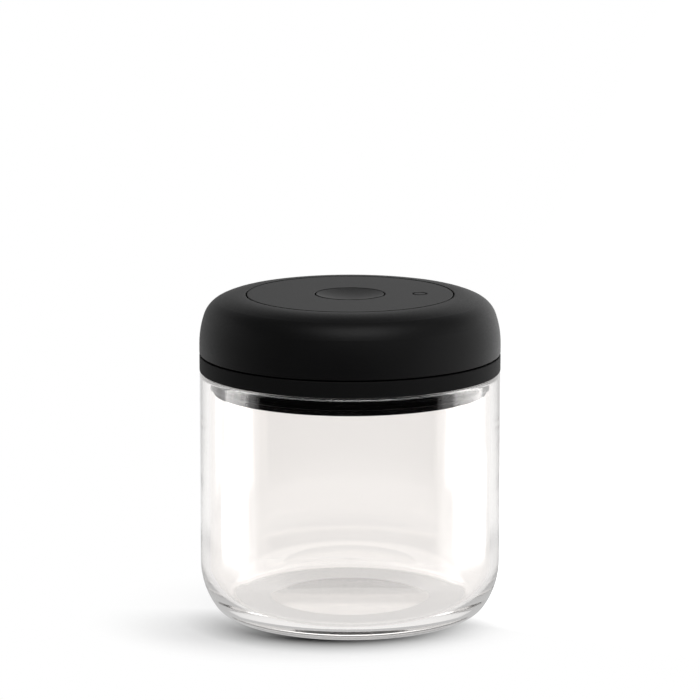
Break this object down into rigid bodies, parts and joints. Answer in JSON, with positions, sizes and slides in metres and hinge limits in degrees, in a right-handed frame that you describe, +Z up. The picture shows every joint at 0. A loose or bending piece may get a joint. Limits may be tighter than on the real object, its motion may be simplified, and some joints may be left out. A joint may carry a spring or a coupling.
{
  "type": "vacuum seal canister",
  "caption": "Round clear glass food canister with a matte black domed lid: twisting the cap works an air pump, a dished centre button lets air back in and a small pin shows the vacuum.",
  "frame": {"origin": "middle of the jar's base, on the surface it stands on", "axes": "+Z up along the axis of the jar and lid, -Y towards the viewer of the picture, +X to the side of the vacuum indicator"},
  "size_m": [0.117, 0.117, 0.1258],
  "materials": {
    "clear_glass": "polished clear glass",
    "black_plastic": "fine matte black, moulded",
    "black_silicone": "smooth black silicone",
    "grey_plastic": "satin dark grey, moulded",
    "white_acetal": "satin natural white, low friction",
    "pale_silicone": "milky soft silicone",
    "steel": "plain stainless steel",
    "filter_felt": "pressed felt"
  },
  "bodies": {
    "jar": {"glass_jar": "clear_glass"},
    "lid": {"lid_base": "black_plastic", "jar_gasket": "black_silicone", "pump_cylinder": "grey_plastic", "cylinder_o_rings": "black_silicone", "cylinder_screws": "steel", "inlet_valve": "pale_silicone", "inlet_filter": "filter_felt", "filter_cover": "black_plastic", "top_plate": "black_plastic", "plate_nut": "steel", "cap_retainer": "grey_plastic", "retainer_screws": "steel", "glide_ring": "white_acetal", "indicator_housing": "grey_plastic", "indicator_diaphragm": "pale_silicone", "indicator_spring": "steel", "release_spring": "steel"},
    "cap": {"lid_cap": "black_plastic", "cam_sleeve": "white_acetal", "cam_screws": "steel"},
    "piston": {"pump_piston": "grey_plastic", "piston_outer_seal": "black_silicone", "piston_inner_seal": "black_silicone", "outlet_valve": "pale_silicone", "follower_pins": "steel"},
    "release": {"release_button": "black_plastic", "release_stem": "grey_plastic", "release_valve_seal": "black_silicone"},
    "indicator": {"indicator_pin": "black_plastic"}
  },
  "joints": [
    {"name": "lid_lift", "type": "slide", "parent": "jar", "child": "lid", "axis": [0, 0, 1], "range_m": [0, 0.12]},
    {"name": "cap_twist", "type": "hinge", "parent": "lid", "child": "cap", "pos_m": [0, 0, 0.11], "axis": [0, 0, 1], "range_deg": [0, 80]},
    {"name": "pump_stroke", "type": "slide", "parent": "lid", "child": "piston", "axis": [0, 0, 1], "range_m": [0, 0.00728]},
    {"name": "release_press", "type": "slide", "parent": "lid", "child": "release", "axis": [0, 0, -1], "range_m": [0, 0.0025], "stiffness_N_per_m": 500, "springref_m": -0.004, "deforming": ["release_spring"]},
    {"name": "indicator_drop", "type": "slide", "parent": "lid", "child": "indicator", "axis": [0, 0, -1], "range_m": [0, 0.002], "stiffness_N_per_m": 200, "springref_m": -0.003, "deforming": ["indicator_spring", "indicator_diaphragm"]}
  ],
  "couplings": [
    {"joint": "pump_stroke", "follows": "cap_twist", "m_per_rad": 0.0052103}
  ]
}
